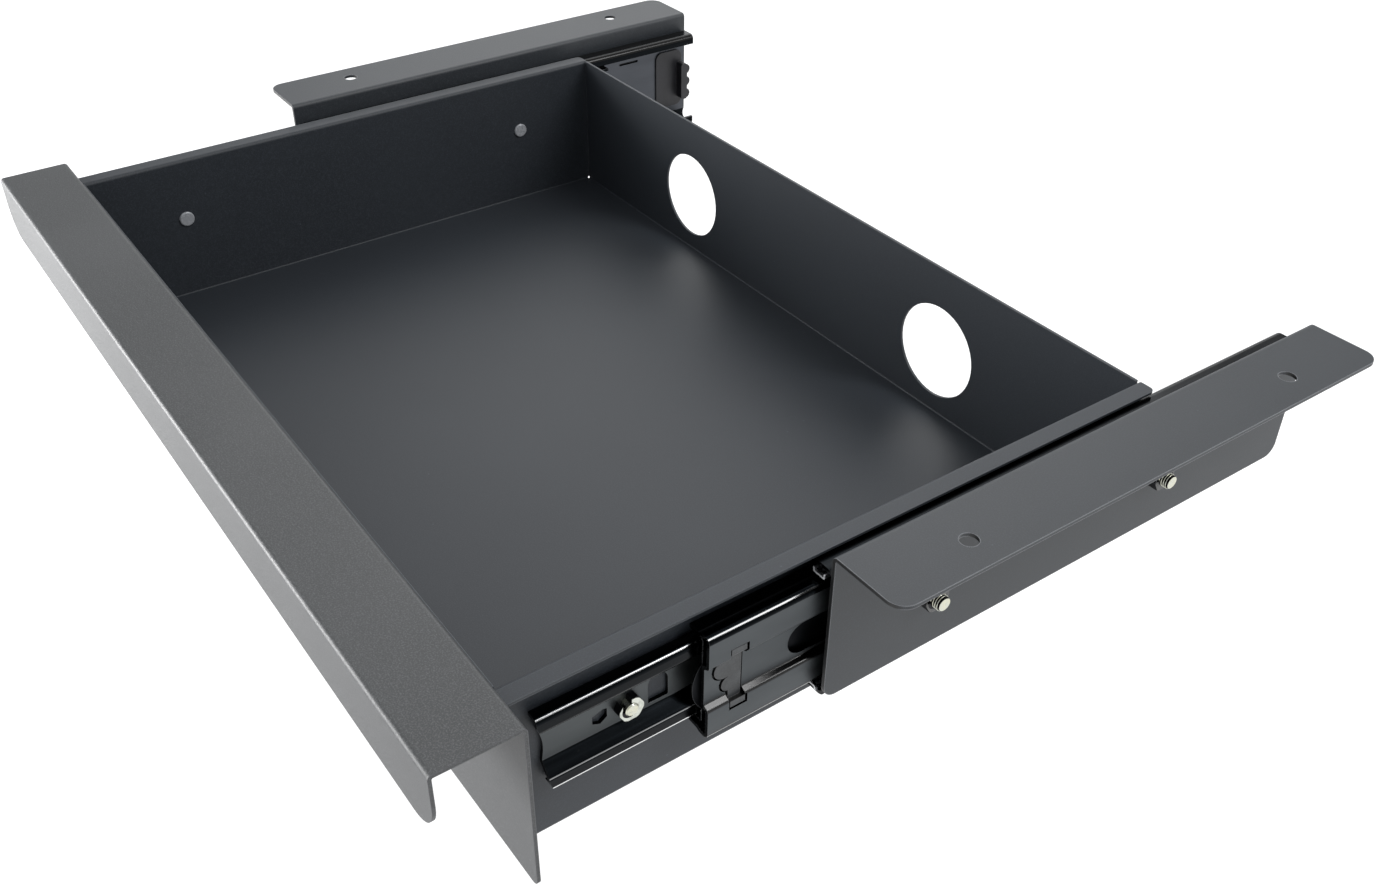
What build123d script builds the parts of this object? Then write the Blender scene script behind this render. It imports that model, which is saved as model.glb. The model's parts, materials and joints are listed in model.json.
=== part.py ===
"""Under desk drawer: a folded sheet tray with a front handle, hung from two angle
brackets on a pair of three-member ball bearing slides.

Millimetres. X across the desk, Y from the user to the back, Z up. The origin is the
centre of the four desk screw holes, on the plane that meets the desk's underside.
The drawer stands pulled out by REST_OPENING from its closed place.
"""
import os

from build123d import *

# ---- driving dimensions --------------------------------------------------------------
# hanging brackets
BRACKET_LENGTH = 200.0
BRACKET_SHEET = 1.2
BRACKET_BEND = 0.5
BRACKET_FLANGE = 25.6
BRACKET_DROP = 51.5
BRACKET_CORNER = 5.5
BRACKET_WEB_CORNER = 4.5
DESK_HOLE_PITCH = 134.0
DESK_HOLE_INSET = 15.3
DESK_HOLE_R = 2.75

# folded tray
TRAY_INNER_WIDTH = 320.4
TRAY_LENGTH = 226.8
TRAY_WALL_HEIGHT = 57.6
TRAY_SHEET = 0.9
TRAY_BEND = 0.5
TRAY_FLANGE = 5.6
TRAY_TOP = -5.4
TRAY_FLANGE_CORNER = 2.0
CORNER_GAP = 0.3
RELIEF_R = 0.4
CABLE_HOLE_R = 18.0
CABLE_HOLE_X = 76.0
CABLE_HOLE_ABOVE_FLOOR = 24.6

# front handle
HANDLE_WIDTH = 355.0
HANDLE_SHEET = 1.0
HANDLE_BEND = 0.4
HANDLE_TOP = -3.0
HANDLE_REACH = 25.0
HANDLE_LIP = 21.5
HANDLE_PANEL = 57.0
HANDLE_LIP_CORNER = 11.0
HANDLE_EDGE_CORNER = 2.5
HANDLE_STANDOFF = 9.0            # from the brackets' front ends to the closed handle

# slides
SLIDE_THICKNESS = 13.0
SLIDE_HEIGHT = 45.7
SLIDE_CENTRE_Z = -30.1
RAIL_SHEET = 1.2
OUTER_LENGTH = 197.0
MIDDLE_LENGTH = 185.0
INNER_LENGTH = 193.0
CAGE_LENGTH = 127.5
CAGE_SHEET = 0.6
BALL_PITCH = 10.0
REST_OPENING = 82.5

# how far behind the handle's panel each part of the slides starts, at the rest opening
OUTER_SETBACK = 93.0
MIDDLE_SETBACK = 55.0
INNER_SETBACK = 8.0
OUTER_CAGE_SETBACK = 91.8
INNER_CAGE_SETBACK = 52.6
STUD_SETBACKS = (35.7, 190.2)

# fasteners: M4 studs with thin nuts through the tray, M5 bolts and nuts through the brackets
STUD_R = 2.0
STUD_NUT_FLATS = 7.0
STUD_PAST_NUT = 0.4
TRAY_STUD_HEAD_R = 3.0
TRAY_STUD_HEAD = 0.8
BOLT_R = 2.5
BOLT_NUT_FLATS = 8.0
BOLT_PAST_NUT = 2.7
BOLT_HEAD_R = 4.2
BOLT_HEAD = 1.7
STUD_NUT_THICKNESS = 2.7
BOLT_NUT_THICKNESS = 4.0
NUT_CHAMFER = 0.35
STUD_HEAD_ROUND = 0.5
STUD_TIP = 0.35
BOLT_HEAD_ROUND = 0.9
BOLT_TIP = 0.45

# ---- positions worked out from them -----------------------------------------------------
FRONT_Y = -BRACKET_LENGTH / 2 - HANDLE_STANDOFF - REST_OPENING      # back face of the handle panel
REAR_Y = FRONT_Y + TRAY_LENGTH
TRAY_FLOOR_Z = TRAY_TOP - TRAY_WALL_HEIGHT
WALL_X = TRAY_INNER_WIDTH / 2 + TRAY_SHEET              # outer face of the tray's side wall
BRACKET_X = WALL_X + SLIDE_THICKNESS                    # inner face of the bracket's web
OUTER_FRONT_Y = FRONT_Y + OUTER_SETBACK
OUTER_REAR_Y = OUTER_FRONT_Y + OUTER_LENGTH
MIDDLE_FRONT_Y = FRONT_Y + MIDDLE_SETBACK
INNER_FRONT_Y = FRONT_Y + INNER_SETBACK
OUTER_CAGE_FRONT_Y = FRONT_Y + OUTER_CAGE_SETBACK
INNER_CAGE_FRONT_Y = FRONT_Y + INNER_CAGE_SETBACK
TRAY_STUDS_Y = [FRONT_Y + setback for setback in STUD_SETBACKS]
BRACKET_BOLTS_Y = (-63.8, 32.2)

os.makedirs("parts", exist_ok=True)
pieces = {}


def keep(name, builder):
    """Label a finished piece and write it as one STEP file."""
    builder.part.label = name
    export_step(builder.part, f"parts/{name}.step")
    pieces[name] = builder


def keep_pair(name, right):
    """Write the right-hand piece, and its mirror image for the left side."""
    with BuildPart() as left:
        mirror(right.part, about=Plane.YZ)
    keep(f"right_{name}", right)
    keep(f"left_{name}", left)


def across(y):
    """The plane square to the drawer's travel at y: its x is X, its y is Z."""
    return Plane.XZ.offset(-y)


def side_on(x):
    """The plane parallel to the side walls at x: its x is Y, its y is Z, it faces +X."""
    return Plane.YZ.offset(x)


def slide_points(points):
    """Section points given from the tray wall and the slide's centre line."""
    return [(WALL_X + x, SLIDE_CENTRE_Z + z) for x, z in points]


def both_ways(upper):
    """A section's upper half followed by its mirror image below the centre line."""
    return upper + [(x, -z) for x, z in reversed(upper)]


def rolled(front_y, length, upper, radii, sheet=RAIL_SHEET):
    """A rolled rail: the outline's upper half, doubled, given thickness and drawn out."""
    with BuildSketch(across(front_y + length)) as section:
        with BuildLine():
            FilletPolyline(*slide_points(both_ways(upper)), radius=radii + radii[::-1])
            offset(amount=sheet, side=Side.RIGHT)
        make_face()
    extrude(section.sketch, amount=length)


def slot_cut(x, y, z, length, height):
    """An obround opening through whatever sheet lies within 2 mm of x."""
    with BuildSketch(side_on(WALL_X + x - 2.0)) as opening:
        with Locations((y, SLIDE_CENTRE_Z + z)):
            SlotOverall(length, height)
    extrude(opening.sketch, amount=4.0, mode=Mode.SUBTRACT)


def round_cut(x, y, z, radius):
    """A round opening through whatever sheet lies within 2 mm of x."""
    with BuildSketch(side_on(WALL_X + x - 2.0)) as opening:
        with Locations((y, SLIDE_CENTRE_Z + z)):
            Circle(radius)
    extrude(opening.sketch, amount=4.0, mode=Mode.SUBTRACT)


# ---- tray -----------------------------------------------------------------------------
with BuildPart() as drawer_pan:
    half = TRAY_INNER_WIDTH / 2
    outer_bend = TRAY_BEND + TRAY_SHEET
    # right side wall with its turned-out flange, then the same on the left
    with BuildSketch(across(REAR_Y)):
        with BuildLine():
            FilletPolyline(
                (half, TRAY_FLOOR_Z + TRAY_BEND),
                (half, TRAY_TOP),
                (WALL_X + TRAY_FLANGE, TRAY_TOP),
                radius=outer_bend,
            )
            offset(amount=TRAY_SHEET, side=Side.RIGHT)
        make_face()
    extrude(amount=TRAY_LENGTH)
    mirror(about=Plane.YZ)
    # floor, folded up into the side walls
    with BuildSketch(across(REAR_Y - outer_bend)):
        with BuildLine():
            FilletPolyline(
                (-half, TRAY_TOP - TRAY_WALL_HEIGHT / 2),
                (-half, TRAY_FLOOR_Z),
                (half, TRAY_FLOOR_Z),
                (half, TRAY_TOP - TRAY_WALL_HEIGHT / 2),
                radius=TRAY_BEND,
            )
            offset(amount=TRAY_SHEET, side=Side.RIGHT)
        make_face()
    extrude(amount=TRAY_LENGTH - 2 * outer_bend)
    # floor, folded up into the front and back walls
    with BuildSketch(side_on(-half + TRAY_BEND)):
        with BuildLine():
            FilletPolyline(
                (FRONT_Y + TRAY_SHEET, TRAY_TOP),
                (FRONT_Y + TRAY_SHEET, TRAY_FLOOR_Z),
                (REAR_Y - TRAY_SHEET, TRAY_FLOOR_Z),
                (REAR_Y - TRAY_SHEET, TRAY_TOP),
                radius=TRAY_BEND,
            )
            offset(amount=TRAY_SHEET, side=Side.RIGHT)
        make_face()
    extrude(amount=TRAY_INNER_WIDTH - 2 * TRAY_BEND)
    # the front and back walls reach almost to the side walls
    wall_height = TRAY_WALL_HEIGHT - TRAY_BEND
    for y in (FRONT_Y + TRAY_SHEET / 2, REAR_Y - TRAY_SHEET / 2):
        with Locations((0, y, TRAY_TOP - wall_height / 2)):
            Box(TRAY_INNER_WIDTH - 2 * CORNER_GAP, TRAY_SHEET, wall_height)
    # rounded rear corners on the side flanges
    flange_corners = (
        drawer_pan.edges()
        .filter_by(Axis.Z)
        .filter_by_position(Axis.Y, REAR_Y - 0.01, REAR_Y + 0.01)
        .filter_by(lambda edge: abs(edge.center().X) > WALL_X + TRAY_FLANGE - 0.1)
    )
    fillet(flange_corners, radius=TRAY_FLANGE_CORNER)
    # relief holes where two folds meet in a corner
    for x in (-half + RELIEF_R, half - RELIEF_R):
        for y in (FRONT_Y + TRAY_SHEET + RELIEF_R, REAR_Y - TRAY_SHEET - RELIEF_R):
            with Locations((x, y, TRAY_FLOOR_Z)):
                Cylinder(RELIEF_R, 6 * TRAY_SHEET, mode=Mode.SUBTRACT)
    # cable holes through the back wall
    with BuildSketch(across(REAR_Y + 1.0)):
        with Locations(
            (-CABLE_HOLE_X, TRAY_FLOOR_Z + CABLE_HOLE_ABOVE_FLOOR),
            (CABLE_HOLE_X, TRAY_FLOOR_Z + CABLE_HOLE_ABOVE_FLOOR),
        ):
            Circle(CABLE_HOLE_R)
    extrude(amount=TRAY_SHEET + 2.0, mode=Mode.SUBTRACT)
    # clearance holes for the studs that hold the slides
    for y in TRAY_STUDS_Y:
        with BuildSketch(side_on(-WALL_X - 1.0)):
            with Locations((y, SLIDE_CENTRE_Z)):
                Circle(STUD_R)
        extrude(amount=2 * WALL_X + 2.0, mode=Mode.SUBTRACT)
keep("drawer_pan", drawer_pan)

# ---- handle ---------------------------------------------------------------------------
with BuildPart() as front_handle:
    with BuildSketch(side_on(-HANDLE_WIDTH / 2)):
        with BuildLine():
            FilletPolyline(
                (FRONT_Y, HANDLE_TOP - HANDLE_PANEL),
                (FRONT_Y, HANDLE_TOP),
                (FRONT_Y - HANDLE_REACH, HANDLE_TOP),
                (FRONT_Y - HANDLE_REACH, HANDLE_TOP - HANDLE_LIP),
                radius=HANDLE_BEND + HANDLE_SHEET,
            )
            offset(amount=HANDLE_SHEET, side=Side.LEFT)
        make_face()
    extrude(amount=HANDLE_WIDTH)
    # round the lip's lower corners
    lip_corners = (
        front_handle.edges()
        .filter_by(Axis.Y)
        .filter_by_position(Axis.Z, HANDLE_TOP - HANDLE_LIP - 0.01, HANDLE_TOP - HANDLE_LIP + 0.01)
    )
    fillet(lip_corners, radius=HANDLE_LIP_CORNER)
    panel_corners = (
        front_handle.edges()
        .filter_by(Axis.Y)
        .filter_by_position(Axis.Z, HANDLE_TOP - HANDLE_PANEL - 0.01, HANDLE_TOP - HANDLE_PANEL + 0.01)
    )
    fillet(panel_corners, radius=HANDLE_EDGE_CORNER)
keep("front_handle", front_handle)

# ---- hanging brackets -----------------------------------------------------------------
with BuildPart() as bracket:
    with BuildSketch(across(BRACKET_LENGTH / 2)):
        with BuildLine():
            FilletPolyline(
                (BRACKET_X, -BRACKET_DROP),
                (BRACKET_X, 0),
                (BRACKET_X + BRACKET_FLANGE, 0),
                radius=BRACKET_BEND + BRACKET_SHEET,
            )
            offset(amount=BRACKET_SHEET, side=Side.RIGHT)
        make_face()
    extrude(amount=BRACKET_LENGTH)
    flange_edges = (
        bracket.edges()
        .filter_by(Axis.Z)
        .filter_by(lambda edge: edge.center().X > BRACKET_X + BRACKET_FLANGE / 2)
    )
    fillet(flange_edges, radius=BRACKET_CORNER)
    web_edges = (
        bracket.edges()
        .filter_by(Axis.X)
        .filter_by(lambda edge: edge.center().Z < -BRACKET_DROP + 0.1)
    )
    fillet(web_edges, radius=BRACKET_WEB_CORNER)
    with Locations((BRACKET_X + DESK_HOLE_INSET, 0, 0)):
        with GridLocations(0, DESK_HOLE_PITCH, 1, 2):
            Hole(DESK_HOLE_R, 4 * BRACKET_SHEET)
    for y in BRACKET_BOLTS_Y:
        with BuildSketch(side_on(BRACKET_X - 1.0)):
            with Locations((y, SLIDE_CENTRE_Z)):
                Circle(BOLT_R)
        extrude(amount=BRACKET_SHEET + 2.0, mode=Mode.SUBTRACT)
keep_pair("bracket", bracket)

# ---- slide rails ------------------------------------------------------------------------
HALF_HEIGHT = SLIDE_HEIGHT / 2
LIP_X = 3.4
LIP_END_Z = 18.5
MIDDLE_TOP_Z = 18.1
MIDDLE_FACE_X = 10.2
MIDDLE_BAND_X = 8.2
MIDDLE_EDGE_X = 1.5
GROOVE_EDGE_X = 5.2
GROOVE_DEPTH = 0.6
GROOVE_RAMP = 1.2
BAND_EDGE_Z = 6.5
BAND_RAMP = 1.1
INNER_TOP_Z = 13.65
INNER_FACE_X = 5.0
INNER_EDGE_X = 0.9
RIDGE_Z = 8.8
INNER_WEB_Z = 5.3
LANCE_LENGTH = 10.6
LANCE_HEIGHT = 1.1
LANCE_Z = 12.9
LANCE_FROM_REAR = 32.0

with BuildPart() as outer_rail:
    rolled(
        OUTER_FRONT_Y,
        OUTER_LENGTH,
        [(LIP_X, LIP_END_Z), (LIP_X, HALF_HEIGHT), (SLIDE_THICKNESS, HALF_HEIGHT)],
        [2.2, 3.0],
    )
    web_x = SLIDE_THICKNESS - RAIL_SHEET / 2
    for y in BRACKET_BOLTS_Y:
        round_cut(web_x, y, 0, BOLT_R)
    # narrow lance slots near the rear
    for z in (LANCE_Z, -LANCE_Z):
        slot_cut(web_x, OUTER_REAR_Y - LANCE_FROM_REAR, z, LANCE_LENGTH, LANCE_HEIGHT)
keep_pair("outer_rail", outer_rail)

# the window near the middle rail's front: a stem with a head at each end and a round nose
LATCH_STEM_Y = MIDDLE_FRONT_Y + 9.6
LATCH_STEM_WIDTH = 5.2
LATCH_STEM_HALF = 11.0
LATCH_HEAD_WIDTH = 6.0
LATCH_HEAD_HEIGHT = 3.2
LATCH_HEAD_SHIFT = 0.3
LATCH_NOSE_R = 4.0
LATCH_NOSE = (MIDDLE_FRONT_Y + 6.4, SLIDE_CENTRE_Z + 3.4)
LATCH_NECK_R = 3.2
LATCH_NECK = (MIDDLE_FRONT_Y + 8.0, SLIDE_CENTRE_Z - 2.6)
LATCH_HEAD_Z = LATCH_STEM_HALF - LATCH_HEAD_HEIGHT / 2
LATCH_HEADS = [(LATCH_STEM_Y + LATCH_HEAD_SHIFT, SLIDE_CENTRE_Z + z) for z in (LATCH_HEAD_Z, -LATCH_HEAD_Z)]
MIDDLE_SLOT_SETBACK = 43.0
MIDDLE_SLOT_LENGTH = 31.0
MIDDLE_SLOT_HEIGHT = 10.8


def latch_outline(grow):
    """The latch window, grown or (if negative) shrunk all round."""
    with BuildSketch(side_on(WALL_X + MIDDLE_BAND_X - RAIL_SHEET)) as outline:
        with Locations((LATCH_STEM_Y, SLIDE_CENTRE_Z)):
            Rectangle(LATCH_STEM_WIDTH + 2 * grow, 2 * (LATCH_STEM_HALF + grow))
        with Locations(LATCH_HEADS):
            Rectangle(LATCH_HEAD_WIDTH + 2 * grow, LATCH_HEAD_HEIGHT + 2 * grow)
        with Locations(LATCH_NOSE):
            Circle(LATCH_NOSE_R + grow)
        with Locations(LATCH_NECK):
            Circle(LATCH_NECK_R + grow)
    return outline


with BuildPart() as middle_rail:
    rolled(
        MIDDLE_FRONT_Y,
        MIDDLE_LENGTH,
        [
            (MIDDLE_EDGE_X, MIDDLE_TOP_Z - GROOVE_DEPTH),
            (GROOVE_EDGE_X, MIDDLE_TOP_Z - GROOVE_DEPTH),
            (GROOVE_EDGE_X + GROOVE_RAMP, MIDDLE_TOP_Z),
            (MIDDLE_FACE_X, MIDDLE_TOP_Z),
            (MIDDLE_FACE_X, BAND_EDGE_Z + BAND_RAMP),
            (MIDDLE_BAND_X, BAND_EDGE_Z),
        ],
        [1.0, 1.6, 2.0, 1.4, 0.6],
    )
    extrude(latch_outline(0.0).sketch, amount=4.0, mode=Mode.SUBTRACT)
    band_x = MIDDLE_BAND_X - RAIL_SHEET / 2
    slot_cut(band_x, MIDDLE_FRONT_Y + MIDDLE_SLOT_SETBACK, 0, MIDDLE_SLOT_LENGTH, MIDDLE_SLOT_HEIGHT)
keep_pair("middle_rail", middle_rail)

# the drawer rail's front edge: how far each height is set back from the rail's front
DISH_TOP = (-0.2, INNER_TOP_Z + 1.0)
DISH_FOOT = (5.4, -INNER_TOP_Z - 1.0)
DISH = [DISH_TOP, (0.6, 9.0), (2.6, 4.0), (3.2, 0.0), (2.6, -6.0), (2.7, -11.0), DISH_FOOT]
DISH_SCRAP_Y = -2.0
# its D shaped lance window, and the pointed location hole ahead of it
WINDOW_SETBACK = 42.4
WINDOW_LENGTH = 6.2
WINDOW_TOP_Z = 5.4
WINDOW_FOOT_Z = -4.2
WINDOW_CORNERS = [0.3, 3.4, 3.8, 0.3]
LOCATION_SETBACK = 25.5
LOCATION_HOLE = [(0.0, 1.0), (0.0, -1.6), (2.3, -2.7), (4.4, -1.2), (4.4, 1.7), (3.3, 2.0)]


def side_points(start_y, points):
    """Points of a side-on sketch given from start_y and the slide's centre line."""
    return [(start_y + y, SLIDE_CENTRE_Z + z) for y, z in points]


with BuildPart() as drawer_rail:
    rolled(
        INNER_FRONT_Y,
        INNER_LENGTH,
        [
            (INNER_EDGE_X, INNER_TOP_Z),
            (INNER_FACE_X, INNER_TOP_Z),
            (INNER_FACE_X, RIDGE_Z),
            (RAIL_SHEET, INNER_WEB_Z),
        ],
        [1.8, 1.6, 0.8],
    )
    # the front end is dished, with its lower corner cut away
    with BuildSketch(side_on(WALL_X - 1.0)):
        with BuildLine():
            Spline(*side_points(INNER_FRONT_Y, DISH))
            scrap = [DISH_FOOT, (DISH_SCRAP_Y, DISH_FOOT[1]), (DISH_SCRAP_Y, DISH_TOP[1]), DISH_TOP]
            Polyline(*side_points(INNER_FRONT_Y, scrap))
        make_face()
    extrude(amount=INNER_FACE_X + 2.0, mode=Mode.SUBTRACT)
    web_x = RAIL_SHEET / 2
    for y in TRAY_STUDS_Y:
        round_cut(web_x, y, 0, STUD_R)
    # pointed location hole and the D shaped lance window
    with BuildSketch(side_on(WALL_X - 1.0)):
        with BuildLine():
            Polyline(*side_points(FRONT_Y + LOCATION_SETBACK, LOCATION_HOLE), close=True)
        make_face()
        with BuildLine():
            window = [
                (0, WINDOW_FOOT_Z),
                (0, WINDOW_TOP_Z),
                (WINDOW_LENGTH, WINDOW_TOP_Z),
                (WINDOW_LENGTH, WINDOW_FOOT_Z),
            ]
            FilletPolyline(
                *side_points(FRONT_Y + WINDOW_SETBACK, window),
                radius=WINDOW_CORNERS,
                close=True,
            )
        make_face()
    extrude(amount=RAIL_SHEET + 2.0, mode=Mode.SUBTRACT)
keep_pair("drawer_rail", drawer_rail)

# ---- ball cages and balls -----------------------------------------------------------------
OUTER_BALL_R = 1.6
OUTER_BALL_X = 7.4
OUTER_BALL_Z = 19.875
INNER_BALL_R = 1.1
INNER_BALL_X = 3.0
INNER_BALL_Z = 14.975
OUTER_BALL_FRONT_Y = FRONT_Y + 125.0
OUTER_BALL_COUNT = 9
INNER_BALL_FRONT_Y = FRONT_Y + 88.0
INNER_BALL_COUNT = 9
CAGE_HOLE_GAP = 0.15
STRIP_LOW_X = 5.6
STRIP_HIGH_X = 10.4
STRIP_RIM = 1.35
STRIP_BEND = 0.7
INNER_CAGE_EDGE_X = 1.6
INNER_CAGE_FACE_X = 6.3
NOSE_DEPTH = 3.2
NOSE_HIGH_Z = 6.6
NOSE_LOW_Z = -9.8


def ball_row(first_y, count, x, z, radius, mode=Mode.ADD):
    """Balls, or the pockets for them, in an upper and a lower row."""
    for sign in (1, -1):
        for index in range(count):
            with Locations((WALL_X + x, first_y + index * BALL_PITCH, SLIDE_CENTRE_Z + sign * z)):
                Sphere(radius, mode=mode)


with BuildPart() as outer_cage:
    # two channel strips, each running between the outer and middle rails
    cage_edges = [
        (STRIP_LOW_X, STRIP_RIM),
        (STRIP_LOW_X, -CAGE_SHEET / 2),
        (STRIP_HIGH_X, -CAGE_SHEET / 2),
        (STRIP_HIGH_X, STRIP_RIM),
    ]
    for sign in (1, -1):
        with BuildSketch(across(OUTER_CAGE_FRONT_Y + CAGE_LENGTH)) as strip:
            with BuildLine():
                strip_line = [(x, sign * (OUTER_BALL_Z + z)) for x, z in cage_edges]
                FilletPolyline(*slide_points(strip_line), radius=STRIP_BEND)
                offset(amount=CAGE_SHEET, side=Side.LEFT if sign > 0 else Side.RIGHT)
            make_face()
        extrude(amount=CAGE_LENGTH)
    pocket_r = OUTER_BALL_R + CAGE_HOLE_GAP
    ball_row(OUTER_BALL_FRONT_Y, OUTER_BALL_COUNT, OUTER_BALL_X, OUTER_BALL_Z, pocket_r, Mode.SUBTRACT)
keep_pair("outer_cage", outer_cage)

with BuildPart() as outer_balls:
    ball_row(OUTER_BALL_FRONT_Y, OUTER_BALL_COUNT, OUTER_BALL_X, OUTER_BALL_Z, OUTER_BALL_R)
keep_pair("outer_balls", outer_balls)

with BuildPart() as inner_cage:
    rolled(
        INNER_CAGE_FRONT_Y,
        CAGE_LENGTH,
        [
            (INNER_CAGE_EDGE_X, INNER_BALL_Z + CAGE_SHEET / 2),
            (INNER_CAGE_FACE_X, INNER_BALL_Z + CAGE_SHEET / 2),
        ],
        [1.0],
        sheet=CAGE_SHEET,
    )
    # between the ball strips the plate ends in a bowed nose, a little below the centre line
    nose_base_y = INNER_CAGE_FRONT_Y + NOSE_DEPTH
    with BuildSketch(side_on(WALL_X)):
        with BuildLine():
            ThreePointArc(
                (nose_base_y, SLIDE_CENTRE_Z + NOSE_LOW_Z),
                (INNER_CAGE_FRONT_Y, SLIDE_CENTRE_Z + (NOSE_LOW_Z + NOSE_HIGH_Z) / 2),
                (nose_base_y, SLIDE_CENTRE_Z + NOSE_HIGH_Z),
            )
            Polyline(
                (nose_base_y, SLIDE_CENTRE_Z + NOSE_HIGH_Z),
                (nose_base_y, SLIDE_CENTRE_Z + HALF_HEIGHT),
                (INNER_CAGE_FRONT_Y - 1.0, SLIDE_CENTRE_Z + HALF_HEIGHT),
                (INNER_CAGE_FRONT_Y - 1.0, SLIDE_CENTRE_Z - HALF_HEIGHT),
                (nose_base_y, SLIDE_CENTRE_Z - HALF_HEIGHT),
                (nose_base_y, SLIDE_CENTRE_Z + NOSE_LOW_Z),
            )
        make_face()
    extrude(amount=INNER_CAGE_FACE_X + 1.0, mode=Mode.SUBTRACT)
    pocket_r = INNER_BALL_R + CAGE_HOLE_GAP
    ball_row(INNER_BALL_FRONT_Y, INNER_BALL_COUNT, INNER_BALL_X, INNER_BALL_Z, pocket_r, Mode.SUBTRACT)
keep_pair("inner_cage", inner_cage)

with BuildPart() as inner_balls:
    ball_row(INNER_BALL_FRONT_Y, INNER_BALL_COUNT, INNER_BALL_X, INNER_BALL_Z, INNER_BALL_R)
keep_pair("inner_balls", inner_balls)

# ---- plastic pieces of the slides ------------------------------------------------------------
LATCH_GAP = 0.55
LATCH_PLUG = 1.5
LATCH_HEAD = 2.9
LATCH_SKIRT = 0.6
LATCH_SKIRT_SHEET = 0.35
with BuildPart() as middle_latch:
    # the plug filling the window, and the thin skirt that holds it behind the rail
    extrude(latch_outline(-LATCH_GAP).sketch, amount=LATCH_PLUG)
    extrude(latch_outline(LATCH_SKIRT).sketch, amount=-LATCH_SKIRT_SHEET)
    # its two heads stand up to the rail's outer face
    with BuildSketch(side_on(WALL_X + MIDDLE_BAND_X - RAIL_SHEET)) as heads:
        with Locations(LATCH_HEADS):
            Rectangle(LATCH_HEAD_WIDTH - 2 * LATCH_GAP, LATCH_HEAD_HEIGHT - 2 * LATCH_GAP)
    extrude(heads.sketch, amount=LATCH_HEAD)
keep_pair("middle_latch", middle_latch)

BUMPER_BASE_X = 11.0
BUMPER_BAR_X = 6.4
BUMPER_CENTRE_Z = SLIDE_CENTRE_Z - 1.0
BUMPER_PLATE = (15.0, 28.0)
BUMPER_PLATE_CORNER = 3.5
BUMPER_PLATE_Y = OUTER_REAR_Y - 9.0
BUMPER_BAR = (3.4, 18.0)
BUMPER_BAR_CORNER = 1.2
BUMPER_BAR_Y = OUTER_REAR_Y - 3.0
LOBE_R = 2.4
LOBE_Y = OUTER_REAR_Y - 2.2
LOBE_PITCH = 6.2
WEB_INNER_X = SLIDE_THICKNESS - RAIL_SHEET
with BuildPart() as rear_bumper:
    # thin plate lying on the web
    with BuildSketch(side_on(WALL_X + BUMPER_BASE_X)):
        with Locations((BUMPER_PLATE_Y, SLIDE_CENTRE_Z)):
            RectangleRounded(*BUMPER_PLATE, BUMPER_PLATE_CORNER)
    extrude(amount=WEB_INNER_X - BUMPER_BASE_X)
    # cushion bar with three lobes across the rail's end
    with BuildSketch(side_on(WALL_X + BUMPER_BAR_X)):
        with Locations((BUMPER_BAR_Y, BUMPER_CENTRE_Z)):
            RectangleRounded(*BUMPER_BAR, BUMPER_BAR_CORNER)
        with Locations([(LOBE_Y, BUMPER_CENTRE_Z + z) for z in (LOBE_PITCH, 0.0, -LOBE_PITCH)]):
            Circle(LOBE_R)
    extrude(amount=WEB_INNER_X - BUMPER_BAR_X)
keep_pair("rear_bumper", rear_bumper)

# ---- fasteners --------------------------------------------------------------------------


def hex_nut(place, across_flats, thickness, thread_r):
    """A nut standing on place and facing +X, its corners chamfered."""
    corner_r = across_flats / 3 ** 0.5
    with BuildPart(mode=Mode.PRIVATE) as nut:
        with BuildSketch(side_on(0)):
            RegularPolygon(corner_r, 6)
        extrude(amount=thickness)
        with BuildSketch(Plane.XZ) as cone:
            with BuildLine():
                Polyline(
                    (0, 0),
                    (0, corner_r - NUT_CHAMFER),
                    (NUT_CHAMFER, corner_r),
                    (thickness - NUT_CHAMFER, corner_r),
                    (thickness, corner_r - NUT_CHAMFER),
                    (thickness, 0),
                    close=True,
                )
            make_face()
        revolve(cone.sketch, axis=Axis.X, mode=Mode.INTERSECT)
        with BuildSketch(side_on(0)):
            Circle(thread_r)
        extrude(amount=thickness, mode=Mode.SUBTRACT)
    return nut.part.moved(Location(place))


def rod(start_x, y, radius, length):
    """A round rod along +X from start_x, on the slide's centre line."""
    with BuildSketch(side_on(start_x)) as end:
        with Locations((y, SLIDE_CENTRE_Z)):
            Circle(radius)
    extrude(end.sketch, amount=length)


with BuildPart() as drawer_nuts:
    for stud_y in TRAY_STUDS_Y:
        place = (WALL_X + RAIL_SHEET, stud_y, SLIDE_CENTRE_Z)
        add(hex_nut(place, STUD_NUT_FLATS, STUD_NUT_THICKNESS, STUD_R))
keep_pair("drawer_nuts", drawer_nuts)

with BuildPart() as drawer_studs:
    wall_face = WALL_X - TRAY_SHEET
    for stud_y in TRAY_STUDS_Y:
        rod(wall_face - TRAY_STUD_HEAD, stud_y, TRAY_STUD_HEAD_R, TRAY_STUD_HEAD)
        rod(wall_face, stud_y, STUD_R, TRAY_SHEET + RAIL_SHEET + STUD_NUT_THICKNESS + STUD_PAST_NUT)
    rims = drawer_studs.edges().filter_by(GeomType.CIRCLE).group_by(Axis.X)[0]
    fillet(rims, radius=STUD_HEAD_ROUND)
    ends = drawer_studs.edges().filter_by(GeomType.CIRCLE).group_by(Axis.X)[-1]
    chamfer(ends, length=STUD_TIP)
keep_pair("drawer_studs", drawer_studs)

with BuildPart() as bracket_nuts:
    for bolt_y in BRACKET_BOLTS_Y:
        place = (BRACKET_X + BRACKET_SHEET, bolt_y, SLIDE_CENTRE_Z)
        add(hex_nut(place, BOLT_NUT_FLATS, BOLT_NUT_THICKNESS, BOLT_R))
keep_pair("bracket_nuts", bracket_nuts)

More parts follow.
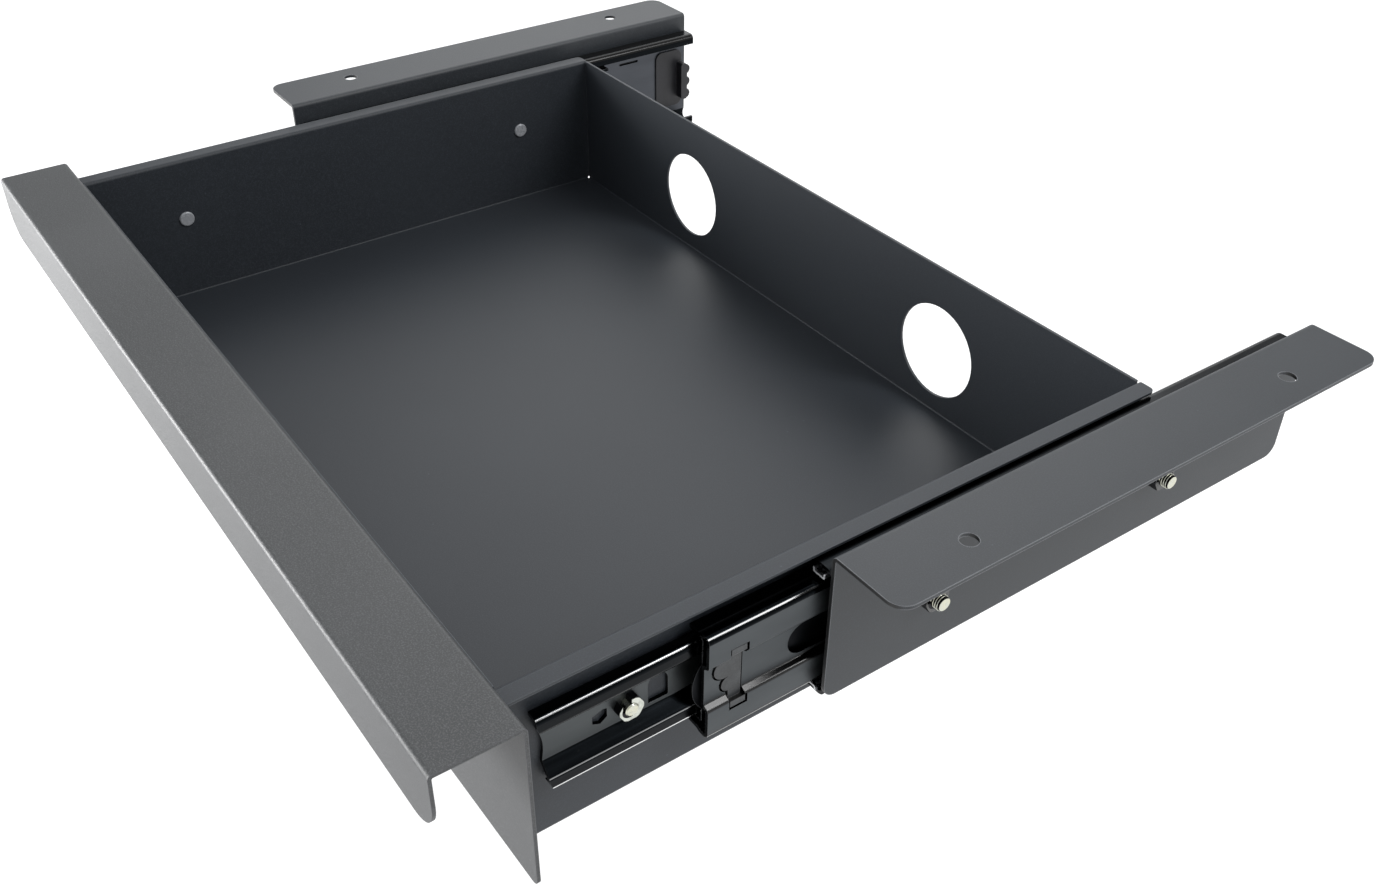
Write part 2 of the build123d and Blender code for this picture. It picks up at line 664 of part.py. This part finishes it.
with BuildPart() as bracket_bolts:
    rail_face = BRACKET_X - RAIL_SHEET
    for bolt_y in BRACKET_BOLTS_Y:
        rod(rail_face - BOLT_HEAD, bolt_y, BOLT_HEAD_R, BOLT_HEAD)
        rod(rail_face, bolt_y, BOLT_R, RAIL_SHEET + BRACKET_SHEET + BOLT_NUT_THICKNESS + BOLT_PAST_NUT)
    rims = bracket_bolts.edges().filter_by(GeomType.CIRCLE).group_by(Axis.X)[0]
    fillet(rims, radius=BOLT_HEAD_ROUND)
    ends = bracket_bolts.edges().filter_by(GeomType.CIRCLE).group_by(Axis.X)[-1]
    chamfer(ends, length=BOLT_TIP)
keep_pair("bracket_bolts", bracket_bolts)

print(f"{len(pieces)} pieces written")
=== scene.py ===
"""Looks for the under desk drawer: powder coated sheet, gloss e-coated slides, zinc fasteners.

Everything is in the frame's own axes, in metres. The CAD nodes keep their shape and place and
get procedural materials. Only the bracket bolts are replaced, by bolts with real threads.
"""
import functools
import json
import math

import bmesh
import bpy
from mathutils import Matrix, Vector


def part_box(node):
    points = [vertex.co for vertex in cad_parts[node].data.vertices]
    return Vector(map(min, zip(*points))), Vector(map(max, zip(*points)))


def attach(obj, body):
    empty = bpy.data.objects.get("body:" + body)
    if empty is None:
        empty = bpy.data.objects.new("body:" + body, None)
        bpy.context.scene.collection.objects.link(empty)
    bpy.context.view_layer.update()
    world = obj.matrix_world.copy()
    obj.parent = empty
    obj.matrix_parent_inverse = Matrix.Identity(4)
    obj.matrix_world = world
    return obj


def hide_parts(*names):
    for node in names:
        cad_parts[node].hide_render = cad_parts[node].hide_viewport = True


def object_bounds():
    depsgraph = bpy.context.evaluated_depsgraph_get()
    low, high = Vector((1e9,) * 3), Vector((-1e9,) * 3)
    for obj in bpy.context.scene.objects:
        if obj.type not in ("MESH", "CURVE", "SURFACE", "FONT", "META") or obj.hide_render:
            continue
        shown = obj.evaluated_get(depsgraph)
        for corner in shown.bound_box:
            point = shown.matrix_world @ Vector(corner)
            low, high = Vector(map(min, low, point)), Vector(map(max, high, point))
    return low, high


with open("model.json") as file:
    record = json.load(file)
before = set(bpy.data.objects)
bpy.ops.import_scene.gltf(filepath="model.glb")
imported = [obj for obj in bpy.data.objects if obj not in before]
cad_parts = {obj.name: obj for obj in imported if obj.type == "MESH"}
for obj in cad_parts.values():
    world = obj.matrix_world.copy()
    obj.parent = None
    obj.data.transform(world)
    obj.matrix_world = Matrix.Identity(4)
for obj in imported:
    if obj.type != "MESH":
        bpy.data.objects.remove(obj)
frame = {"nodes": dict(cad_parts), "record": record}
cad_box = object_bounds()
nodes = frame["nodes"]

# ---- camera --------------------------------------------------------------------------
AZIMUTH = math.radians(54.2)
ELEVATION = math.radians(36.291)
ROLL = math.radians(0.635)
EYE = Vector((0.3723, -0.2885, 0.2336))
LENS = 36.64               # millimetres
SENSOR_WIDTH = 36.0        # millimetres
CLIP_START = 0.01


def make_camera():
    """Looks across the drawer from its front right corner."""
    data = bpy.data.cameras.new("camera")
    data.lens = LENS
    data.sensor_width = SENSOR_WIDTH
    data.clip_start = CLIP_START
    camera = bpy.data.objects.new("camera", data)
    bpy.context.scene.collection.objects.link(camera)
    level = math.cos(ELEVATION)
    forward = Vector(
        (-math.sin(AZIMUTH) * level, math.cos(AZIMUTH) * level, -math.sin(ELEVATION))
    )
    right = Vector((math.cos(AZIMUTH), math.sin(AZIMUTH), 0.0))
    up = right.cross(forward)
    tilted_right = right * math.cos(ROLL) + up * math.sin(ROLL)
    tilted_up = up * math.cos(ROLL) - right * math.sin(ROLL)
    turn = Matrix((tilted_right, tilted_up, -forward)).transposed()
    camera.matrix_world = Matrix.Translation(EYE) @ turn.to_4x4()
    bpy.context.scene.camera = camera


make_camera()


# ---- places on the object that the looks refer to ------------------------------------------
SLIDE_LINE_Z = -0.0301     # height of the slides' centre line
TRAY_INSIDE_X = 0.1603     # nearer the middle than this is inside the tray
LATCH_FACE_X = 0.1687      # outer face of the latches, from the middle; nearer the middle than this the latches are painted black as shade
STUD_R = 0.0020
BOLT_R = 0.0025
VALLEY_R = 0.00230         # the bolts' thread valleys get painted shade inside this radius
THREAD_MOUTH = 0.00035     # painted shade: a dark ring round the thread in a nut's end face

# ---- tones ----------------------------------------------------------------------------------
BLACK = (0.0, 0.0, 0.0)
WET_BLACK = (0.005, 0.006, 0.007)
# nut sides: partly the nuts' own black, partly painted shade
NUT_BLACK_AND_SHADE = (0.015, 0.015, 0.017)
# painted shade in the bolts' thread valleys
THREAD_VALLEY_SHADE = (0.004, 0.004, 0.004)
DULL_ZINC = (0.34, 0.35, 0.37)
CUT_ZINC = (0.72, 0.73, 0.75)
RUBBED_STEEL = (0.3, 0.3, 0.3)
# rail corners paler: partly wear, partly a painted highlight
RUBBED_GLOSS_AND_HIGHLIGHT = (0.16, 0.165, 0.17)
RUBBED_PLASTIC = (0.12, 0.12, 0.125)
DUST = (0.2, 0.2, 0.2)

# powder coat rubbed paler on corners and folds: partly wear, partly a painted highlight
PAN_WORN_AND_HIGHLIGHT = (0.10, 0.11, 0.12)
HANDLE_WORN_AND_HIGHLIGHT = (0.10, 0.10, 0.11)
BRACKET_WORN_AND_HIGHLIGHT = (0.30, 0.31, 0.33)

# ---- sizes and depths of surface detail -----------------------------------------------------
COAT_GRAIN = 0.00042
COAT_CLOUD = 0.09
COAT_SPECK_SPACING = 0.011
COAT_RELIEF = 0.00004
GLOSS_RELIEF = 0.00002
STEEL_RELIEF = 0.00001
ZINC_RELIEF = 0.000006
PLASTIC_RELIEF = 0.00002
SOFT_LINE = 0.0001         # a mask's fade at a hard boundary
COAT_ROUGHNESS = 0.5
PLASTIC_ROUGHNESS = 0.45
BEVEL_SAMPLES = 6

# painted highlights along each bend of the rails: height above the slides' centre line from, to,
# and brightness
OUTER_GLINTS = [(0.0200, 0.0230, 0.022)]
MIDDLE_GLINTS = [
    (0.01755, 0.01775, 0.14),
    (-0.0180, -0.0169, 0.30),
    (-0.0080, -0.0062, 0.045),
]
INNER_GLINTS = [
    (0.01312, 0.01330, 0.25),
    (-0.0136, -0.0121, 0.80),
    (-0.0089, -0.0087, 0.35),
]


# ---- material building blocks ---------------------------------------------------------------
MATERIALS = {}             # every material made so far, by the name it was asked for



class Recipe:
    """A node tree being built: each method adds a node and returns its output socket."""

    def __init__(self, name):
        self.material = bpy.data.materials.new(name)
        MATERIALS[name] = self.material
        self.material.use_nodes = True
        self.tree = self.material.node_tree
        self.shader = self.tree.nodes["Principled BSDF"]
        self.place = self.tree.nodes.new("ShaderNodeTexCoord").outputs["Object"]

    def link(self, source, target):
        """Joins an output to an input, or sets the input if source is a plain value."""
        if isinstance(source, bpy.types.NodeSocket):
            self.tree.links.new(source, target)
        else:
            target.default_value = source

    def noise(self, size, detail=2.0, rough=0.5, place=None):
        """Smooth noise from 0 to 1 with features about size metres across."""
        node = self.tree.nodes.new("ShaderNodeTexNoise")
        node.inputs["Scale"].default_value = 1.0 / size
        node.inputs["Detail"].default_value = detail
        node.inputs["Roughness"].default_value = rough
        self.link(place or self.place, node.inputs["Vector"])
        return node.outputs["Fac"]

    def cells(self, size):
        """Distance to the nearest of scattered points about size metres apart, in spacings."""
        node = self.tree.nodes.new("ShaderNodeTexVoronoi")
        node.inputs["Scale"].default_value = 1.0 / size
        self.link(self.place, node.inputs["Vector"])
        return node.outputs["Distance"]

    def stretched(self, x, y, z):
        """The position scaled along each axis."""
        node = self.tree.nodes.new("ShaderNodeVectorMath")
        node.operation = "MULTIPLY"
        self.link(self.place, node.inputs[0])
        node.inputs[1].default_value = (x, y, z)
        return node.outputs["Vector"]

    def axis(self, index, source=None):
        """One coordinate, 0 to 2, of the position or of another vector."""
        node = self.tree.nodes.new("ShaderNodeSeparateXYZ")
        self.link(source or self.place, node.inputs[0])
        return node.outputs[index]

    def facing(self, index):
        """One coordinate of the surface's own normal."""
        return self.axis(index, self.tree.nodes.new("ShaderNodeNewGeometry").outputs["Normal"])

    def squarely(self, index):
        """1 where the surface faces along an axis, either way, 0 where it is parallel to it."""
        return self.math("ABSOLUTE", self.facing(index))

    def from_middle(self):
        """Distance to either side of the object's middle."""
        return self.math("ABSOLUTE", self.axis(0))

    def from_slide_line(self):
        """Distance above or below the slides' centre line."""
        return self.math("ABSOLUTE", self.math("SUBTRACT", self.axis(2), SLIDE_LINE_Z))

    def band(self, source, low, high, soft):
        """1 where source lies between low and high, fading to 0 over soft beyond them."""
        rise = self.ramp(source, low - soft, low)
        return self.math("MULTIPLY", rise, self.ramp(source, high + soft, high))

    def ramp(self, source, low, high, start=0.0, end=1.0):
        """Source carried from low..high to start..end, smoothly and clamped."""
        node = self.tree.nodes.new("ShaderNodeMapRange")
        node.interpolation_type = "SMOOTHSTEP"
        self.link(source, node.inputs["Value"])
        node.inputs["From Min"].default_value = low
        node.inputs["From Max"].default_value = high
        node.inputs["To Min"].default_value = start
        node.inputs["To Max"].default_value = end
        return node.outputs["Result"]

    def math(self, operation, a, b=0.0):
        """One sum, of one or two values."""
        node = self.tree.nodes.new("ShaderNodeMath")
        node.operation = operation
        self.link(a, node.inputs[0])
        self.link(b, node.inputs[1])
        return node.outputs["Value"]

    def blend(self, a, a_share, b, b_share):
        """Two values added up in the given shares."""
        return self.math(
            "ADD", self.math("MULTIPLY", a, a_share), self.math("MULTIPLY", b, b_share)
        )

    def mix(self, share, a, b):
        """Colour a turning into colour b as share goes from 0 to 1."""
        node = self.tree.nodes.new("ShaderNodeMix")
        node.data_type = "RGBA"
        self.link(share, node.inputs["Factor"])
        self.link(colour(a), node.inputs["A"])
        self.link(colour(b), node.inputs["B"])
        return node.outputs["Result"]

    def within(self, node, radius):
        """1 nearer than radius to the axis, along X, of either piece of a paired CAD node."""
        places, centre_z = pair_of_centres(node)
        inside = 0.0
        for y in places:
            offset = [
                self.math("SUBTRACT", self.axis(1), y),
                self.math("SUBTRACT", self.axis(2), centre_z),
            ]
            squares = [self.math("MULTIPLY", value, value) for value in offset]
            reach = self.math("SQRT", self.math("ADD", squares[0], squares[1]))
            nearer = self.ramp(reach, radius + SOFT_LINE, radius)
            inside = self.math("MAXIMUM", inside, nearer)
        return inside

    def rounded(self, radius):
        """The surface's normal with its corners rounded to radius."""
        bevel = self.tree.nodes.new("ShaderNodeBevel")
        bevel.samples = BEVEL_SAMPLES
        bevel.inputs["Radius"].default_value = radius
        return bevel.outputs["Normal"]

    def edges(self, reach):
        """1 on corners tighter than about reach metres, 0 on flat stretches."""
        flat = self.tree.nodes.new("ShaderNodeNewGeometry")
        dot = self.tree.nodes.new("ShaderNodeVectorMath")
        dot.operation = "DOT_PRODUCT"
        self.link(self.rounded(reach), dot.inputs[0])
        self.link(flat.outputs["Normal"], dot.inputs[1])
        return self.ramp(dot.outputs["Value"], 0.985, 0.80)

    def bump(self, height, distance, soften=0.0):
        """Puts height, 0 to 1, on the shader's normal as relief distance metres deep.

        Soften rounds corners to about that radius first.
        """
        node = self.tree.nodes.new("ShaderNodeBump")
        node.inputs["Strength"].default_value = 1.0
        node.inputs["Distance"].default_value = distance
        self.link(height, node.inputs["Height"])
        if soften:
            self.link(self.rounded(soften), node.inputs["Normal"])
        self.link(node.outputs["Normal"], self.shader.inputs["Normal"])

    def surface(self, **values):
        """Sets the shader's sockets; a word's underscores stand for spaces."""
        for name, value in values.items():
            self.link(value, self.shader.inputs[name.replace("_", " ")])


def colour(value):
    """A colour with alpha from three numbers or one grey; sockets pass through."""
    if isinstance(value, (int, float)):
        return (value, value, value, 1.0)
    if isinstance(value, tuple) and len(value) == 3:
        return (*value, 1.0)
    return value


def shade(tone, factor):
    """A tone made darker or lighter."""
    return tuple(value * factor for value in tone)


def powder_coat(name, base, pale, worn_and_highlight, shaded_ends=0.0, specular=0.5):
    """Fine textured black powder coat: leathery grain, paler on its peaks, paler on its folds from
    wear and a painted highlight.

    Shaded_ends is how much painted shade, as black, goes on the cut ends that face along the
    drawer's travel.
    """
    coat = Recipe(name)
    grain_noise = coat.noise(COAT_GRAIN, detail=3.0, rough=0.55)
    peel = coat.noise(COAT_GRAIN * 6.0, detail=1.0)
    cloud = coat.noise(COAT_CLOUD, detail=2.0)
    specks = coat.ramp(coat.cells(COAT_SPECK_SPACING), 0.035, 0.02)
    tone = coat.mix(coat.ramp(grain_noise, 0.42, 0.72), base, pale)
    tone = coat.mix(coat.ramp(cloud, 0.3, 0.7, 0.0, 0.22), tone, pale)
    # folds and corners paler: partly wear, partly a painted highlight
    tone = coat.mix(coat.math("MULTIPLY", coat.edges(0.0006), 0.7), tone, worn_and_highlight)
    tone = coat.mix(coat.math("MULTIPLY", specks, 0.35), tone, shade(pale, 2.4))
    # painted shade: the cut ends facing along the drawer's travel go towards black
    if shaded_ends:
        ends = coat.ramp(coat.squarely(1), 0.6, 0.9, 0.0, shaded_ends)
        tone = coat.mix(ends, tone, BLACK)
    gloss = coat.ramp(grain_noise, 0.3, 0.75, COAT_ROUGHNESS - 0.05, COAT_ROUGHNESS + 0.08)
    coat.surface(Base_Color=tone, Roughness=gloss, Specular_IOR_Level=specular)
    height = coat.blend(grain_noise, 0.75, peel, 0.25)
    coat.bump(height, COAT_RELIEF, soften=0.00035)


def gloss_coat(name, painted_sheen, satin_reach, painted_glints, inward_only=False):
    """Black electro-coat on rolled steel: a rougher face with a painted sheen along the centre
    line, wet black beyond it.

    The rougher face and its painted sheen reach satin_reach metres either side of the slides'
    centre line, on faces turned sideways; painted_glints lists the heights, as (low, high,
    brightness) from the line, of painted highlights along each bend. Inward_only keeps the rougher
    face and its painted sheen to the faces turned to the drawer's middle.
    """
    coat = Recipe(name)
    drawn = coat.noise(0.0008, detail=2.0, place=coat.stretched(1.0, 0.02, 1.0))
    ripple = coat.noise(0.006, detail=2.0, place=coat.stretched(1.0, 0.25, 1.0))
    dust = coat.ramp(coat.noise(0.0011, detail=2.0), 0.66, 0.78)
    height = coat.math("SUBTRACT", coat.axis(2), SLIDE_LINE_Z)
    outward = coat.squarely(0)
    # painted sheen: near the centre line, flats that face sideways get a lighter colour, and a
    # rougher finish
    face = coat.ramp(coat.from_slide_line(), satin_reach + 0.0004, satin_reach)
    face = coat.math("MULTIPLY", face, coat.ramp(outward, 0.80, 0.97))
    if inward_only:
        turned = coat.math("MULTIPLY", coat.facing(0), coat.axis(0))
        face = coat.math("MULTIPLY", face, coat.math("LESS_THAN", turned, 0.0))
    streaks = coat.ramp(drawn, 0.4, 0.7, 0.0, 0.6)
    tone = coat.mix(streaks, WET_BLACK, shade(WET_BLACK, 1.8))
    tone = coat.mix(face, tone, painted_sheen)
    # painted highlights along each bend
    for low, high, brightness in painted_glints:
        on_bend = coat.band(height, low, high, SOFT_LINE)
        glint = coat.math("MULTIPLY", on_bend, coat.band(outward, 0.30, 0.985, 0.01))
        tone = coat.mix(glint, tone, brightness)
    # corners paler: partly wear, partly a painted highlight
    tone = coat.mix(coat.math("MULTIPLY", coat.edges(0.0003), 0.35), tone, RUBBED_GLOSS_AND_HIGHLIGHT)
    tone = coat.mix(coat.math("MULTIPLY", dust, 0.03), tone, DUST)
    gloss = coat.ramp(ripple, 0.3, 0.75, 0.16, 0.26)
    gloss = coat.math("ADD", gloss, coat.math("MULTIPLY", face, 0.26))
    coat.surface(Base_Color=tone, Roughness=gloss, Metallic=1.0)
    coat.bump(coat.blend(drawn, 0.3, ripple, 0.7), GLOSS_RELIEF, soften=0.0002)


def pair_of_centres(node):
    """The places along Y, and the height, of the two equal round or hexagonal pieces of a node."""
    low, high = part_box(node)
    reach = (high.z - low.z) / 2
    return [low.y + reach, high.y - reach], (low.z + high.z) / 2


def nuts_with_painted_shade(name, node, thread_r, base, face, face_rough):
    """Nuts of a CAD node: sides darkened with painted shade, end faces painted lighter, painted
    shade in the thread mouths, and rubbed corners.
    """
    steel = Recipe(name)
    mouth_shade = steel.within(node, thread_r + THREAD_MOUTH)
    mottle = steel.noise(0.0009, detail=3.0)
    outward = steel.ramp(steel.squarely(0), 0.80, 0.95)
    tone = steel.mix(steel.ramp(mottle, 0.35, 0.7), base, shade(base, 1.6))
    ends = steel.mix(steel.ramp(mottle, 0.35, 0.7), face, shade(face, 0.8))
    # end faces along X lighter than the sides: painted light and shade
    tone = steel.mix(outward, tone, ends)
    tone = steel.mix(steel.math("MULTIPLY", steel.edges(0.0002), 0.3), tone, RUBBED_STEEL)
    # painted shade in the thread mouths
    tone = steel.mix(mouth_shade, tone, base)
    gloss = steel.math("ADD", face_rough, steel.math("MULTIPLY", mottle, 0.15))
    steel.surface(Base_Color=tone, Roughness=gloss, Metallic=1.0)
    steel.bump(mottle, STEEL_RELIEF, soften=0.0002)


def bright_metal(name, base, tint, rough=0.25, threads=None, dull_x=0.0, cut_ends=False):
    """Zinc plate: bright, slightly mottled, duller in its scratches.

    Threads is (CAD node, radius) of threaded rods along X whose valleys, inside radius, get painted
    shade.
    Nearer the middle than dull_x, inside the tray, the plate has gone matt; cut_ends does the same
    to the ends that face along the drawer's travel.
    """
    plate = Recipe(name)
    mottle = plate.noise(0.0016, detail=3.0)
    scratch = plate.noise(0.0004, detail=2.0, place=plate.stretched(1.0, 0.2, 1.0))
    tone = plate.mix(plate.ramp(mottle, 0.35, 0.7), base, tint)
    tone = plate.mix(plate.ramp(scratch, 0.58, 0.74, 0.0, 0.4), tone, shade(base, 0.5))
    # painted shade in the thread valleys
    if threads:
        flank = plate.ramp(plate.squarely(0), 0.92, 0.85)
        valley_shade = plate.math("MULTIPLY", flank, plate.within(*threads))
        tone = plate.mix(valley_shade, tone, THREAD_VALLEY_SHADE)
    gloss = plate.ramp(mottle, 0.3, 0.75, rough - 0.06, rough + 0.14)
    metal = 1.0
    if dull_x or cut_ends:
        if cut_ends:
            dull = plate.ramp(plate.squarely(1), 0.5, 0.8)
        else:
            dull = plate.ramp(plate.from_middle(), dull_x, dull_x - SOFT_LINE)
        tone = plate.mix(dull, tone, CUT_ZINC if cut_ends else DULL_ZINC)
        metal = plate.math("SUBTRACT", 1.0, plate.math("MULTIPLY", dull, 0.8))
    plate.surface(Base_Color=tone, Roughness=gloss, Metallic=metal)
    plate.bump(plate.blend(mottle, 0.6, scratch, 0.4), ZINC_RELIEF)


def moulded(name, base, face_x=0.0):
    """Moulded black plastic with a light pebble and scuffed edges.

    With face_x it is painted black, as shade, nearer the middle than that and on its sides.
    """
    plastic = Recipe(name)
    pebble = plastic.noise(0.0005, detail=2.0)
    cloud = plastic.noise(0.004, detail=2.0)
    tone = plastic.mix(plastic.ramp(cloud, 0.3, 0.7), base, shade(base, 1.7))
    tone = plastic.mix(plastic.math("MULTIPLY", plastic.edges(0.0005), 0.5), tone, RUBBED_PLASTIC)
    # painted shade: the latch's skirt and sides go black
    if face_x:
        sunk = plastic.ramp(plastic.from_middle(), face_x, face_x - 0.0004)
        sides = plastic.ramp(plastic.squarely(0), 0.7, 0.4)
        tone = plastic.mix(plastic.math("MAXIMUM", sunk, sides), tone, BLACK)
    gloss = plastic.ramp(pebble, 0.3, 0.7, PLASTIC_ROUGHNESS - 0.08, PLASTIC_ROUGHNESS + 0.08)
    plastic.surface(Base_Color=tone, Roughness=gloss)
    plastic.bump(pebble, PLASTIC_RELIEF, soften=0.0003)


powder_coat(
    "pan_powder_coat", (0.018, 0.021, 0.026), (0.034, 0.040, 0.048), PAN_WORN_AND_HIGHLIGHT, specular=0.38
)
powder_coat(
    "handle_powder_coat", (0.024, 0.026, 0.027), (0.080, 0.082, 0.086), HANDLE_WORN_AND_HIGHLIGHT
)
powder_coat(
    "bracket_powder_coat",
    (0.016, 0.019, 0.023),
    (0.036, 0.041, 0.048),
    BRACKET_WORN_AND_HIGHLIGHT,
    shaded_ends=0.9,
)
gloss_coat(
    "outer_rail_coat", (0.075, 0.080, 0.090), 0.0170, OUTER_GLINTS, inward_only=True
)
gloss_coat("middle_rail_coat", (0.076, 0.083, 0.088), 0.0160, MIDDLE_GLINTS)
gloss_coat("drawer_rail_coat", (0.082, 0.089, 0.092), 0.0050, INNER_GLINTS)
gloss_coat("inner_cage_steel", (0.012, 0.013, 0.015), 0.0120, [])
bright_metal("cage_zinc", (0.50, 0.51, 0.53), (0.42, 0.43, 0.45), cut_ends=True)
bright_metal("ball_steel", (0.72, 0.72, 0.73), (0.66, 0.66, 0.67), rough=0.12)
bright_metal(
    "fastener_zinc",
    (0.56, 0.57, 0.50),
    (0.62, 0.61, 0.48),
    threads=("right_bracket_bolts", VALLEY_R),
    dull_x=TRAY_INSIDE_X,
)
nuts_with_painted_shade(
    "stud_nut_zinc", "right_drawer_nuts", STUD_R, NUT_BLACK_AND_SHADE, (0.62, 0.64, 0.58), 0.35
)
nuts_with_painted_shade(
    "bolt_nut_steel", "right_bracket_nuts", BOLT_R, NUT_BLACK_AND_SHADE, (0.13, 0.13, 0.13), 0.4
)
moulded("latch_plastic", (0.022, 0.024, 0.026), face_x=LATCH_FACE_X)
moulded("bumper_plastic", (0.004, 0.004, 0.006))


def dress_nodes():
    """Gives every CAD node the material of its slot in the record."""
    for part in frame["record"]["subparts"]:
        node = nodes[part["node"]]
        node.data.materials.clear()
        node.data.materials.append(MATERIALS[part["material_slot"]])


dress_nodes()

# ---- threaded bolts -----------------------------------------------------------------------
THREAD_PITCH = 0.0008
THREAD_DEPTH = 0.00042
ROUND_STEPS = 40
STEPS_PER_PITCH = 10
TIP_SLOPE = 0.9            # how steeply the thread is cut down at the rod's end
BOLT_HEAD = 0.0017
HEAD_ROUNDING = 0.0009
HEAD_STEPS = 6


def thread_radius(x, turn, length, radius):
    """Radius of a right-hand V thread at distance x along the rod and at turn, 0 to 1, round it."""
    phase = (x / THREAD_PITCH - turn) % 1.0
    valley = 1.0 - abs(2.0 * phase - 1.0)
    tapered = radius - max(0.0, THREAD_DEPTH - (length - x) * TIP_SLOPE)
    return min(radius - THREAD_DEPTH * valley, tapered)


def add_ring(mesh, start, x, radius_at):
    """Adds vertices round the X axis at x from start; radius_at is given the turn, 0 to 1."""
    ring = []
    for j in range(ROUND_STEPS):
        turn = j / ROUND_STEPS
        angle = 2 * math.pi * turn
        r = radius_at(turn)
        ring.append(mesh.verts.new(start + Vector((x, r * math.cos(angle), r * math.sin(angle)))))
    return ring


def skin(mesh, rings):
    """Joins the rings one to the next and closes both ends."""
    for low, high in zip(rings, rings[1:]):
        for j in range(ROUND_STEPS):
            k = (j + 1) % ROUND_STEPS
            mesh.faces.new((low[j], low[k], high[k], high[j]))
    mesh.faces.new(rings[0])
    mesh.faces.new(rings[-1])


def threaded_rod(mesh, start, direction, length, radius):
    """Adds a closed threaded rod to a bmesh, from start along +X or -X."""
    count = round(length / THREAD_PITCH * STEPS_PER_PITCH)
    rings = []
    for i in range(count + 1):
        x = length * i / count
        radius_at = functools.partial(thread_radius, x, length=length, radius=radius)
        rings.append(add_ring(mesh, start, direction * x, radius_at))
    skin(mesh, rings)


def domed_head(mesh, start, direction, thickness, radius, rounding):
    """Adds a round bolt head with a softly rounded rim, standing from start against direction."""
    profile = [(0.0, radius), (thickness - rounding, radius)]
    for i in range(1, HEAD_STEPS + 1):
        angle = math.pi / 2 * i / HEAD_STEPS
        x = thickness - rounding + rounding * math.sin(angle)
        profile.append((x, radius - rounding * (1 - math.cos(angle))))
    skin(mesh, [add_ring(mesh, start, -direction * x, lambda turn: r) for x, r in profile])


def make_bracket_bolts(side, direction):
    """The two bolts of one bracket, with real threads, in place of their plain CAD rods."""
    node = f"{side}_bracket_bolts"
    low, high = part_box(node)
    places, z = pair_of_centres(node)
    head_r = (high.z - low.z) / 2
    inner_x, outer_x = (low.x, high.x) if direction > 0 else (high.x, low.x)
    mesh = bmesh.new()
    for y in places:
        under_head = Vector((inner_x + direction * BOLT_HEAD, y, z))
        threaded_rod(mesh, under_head, direction, abs(outer_x - under_head.x), BOLT_R)
        domed_head(mesh, under_head, direction, BOLT_HEAD, head_r, HEAD_ROUNDING)
    bmesh.ops.recalc_face_normals(mesh, faces=mesh.faces)
    data = bpy.data.meshes.new(f"{side}_threaded_bolts")
    mesh.to_mesh(data)
    mesh.free()
    piece = bpy.data.objects.new(f"{side}_threaded_bolts", data)
    bpy.context.scene.collection.objects.link(piece)
    data.materials.append(MATERIALS["fastener_zinc"])
    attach(piece, "frame")
    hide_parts(node)


make_bracket_bolts("right", 1)
make_bracket_bolts("left", -1)

# ---- studio -------------------------------------------------------------------------------
FLOOR_DROP = 0.16          # from the lowest point of the object to the floor
FLOOR_SIZE = 14
FLOOR_TONES = ((0.38, 0.38, 0.38), (0.41, 0.41, 0.41))
FLOOR_GLOW = 0.72
SKY_COLOUR = (0.96, 0.98, 1.0, 1.0)
SKY = 0.65

# name, place, aim, width, depth and radiance of each soft light
LIGHTS = [
    ("strip", (0.85, 0.60, 1.05), (0.15, -0.1, 0), 0.5, 0.9, 9.0),
    ("front", (-1.1, -1.5, 0.7), (0, 0, 0), 1.4, 1.2, 1.2),
    ("low_left", (-0.60, -0.80, 0.02), (-0.17, -0.2, -0.03), 0.5, 0.4, 23.0),
    ("back", (-0.95, 0.75, 1.0), (0, -0.05, 0), 1.3, 1.3, 2.2),
]


def area_light(name, place, aim, wide, deep, radiance):
    """A soft oblong light of the given radiance looking from place to aim."""
    data = bpy.data.lights.new(name, "AREA")
    data.shape = "RECTANGLE"
    data.size = wide
    data.size_y = deep
    data.energy = radiance * math.pi * wide * deep
    light = bpy.data.objects.new(name, data)
    light.location = place
    light.rotation_euler = (Vector(aim) - Vector(place)).to_track_quat("-Z", "Y").to_euler()
    light.visible_camera = False
    bpy.context.scene.collection.objects.link(light)


def make_studio():
    """Bright pale floor, even surroundings and soft lights; tones are shown as they are."""
    bpy.context.scene.view_settings.view_transform = "Standard"
    floor_z = cad_box[0][2] - FLOOR_DROP
    bpy.ops.mesh.primitive_plane_add(size=FLOOR_SIZE, location=(0, 0, floor_z))
    floor = bpy.context.object
    floor.name = "floor"
    paper = Recipe("floor_paper")
    tone = paper.mix(paper.noise(0.4, detail=3.0), *FLOOR_TONES)
    paper.surface(Base_Color=tone, Roughness=0.9, Specular_IOR_Level=0.1)
    paper.surface(Emission_Color=(1.0, 1.0, 1.0, 1.0), Emission_Strength=FLOOR_GLOW)
    floor.data.materials.append(paper.material)
    for light in LIGHTS:
        area_light(*light)
    world = bpy.data.worlds.new("world")
    world.use_nodes = True
    background = world.node_tree.nodes["Background"]
    background.inputs["Color"].default_value = SKY_COLOUR
    background.inputs["Strength"].default_value = SKY
    bpy.context.scene.world = world


make_studio()
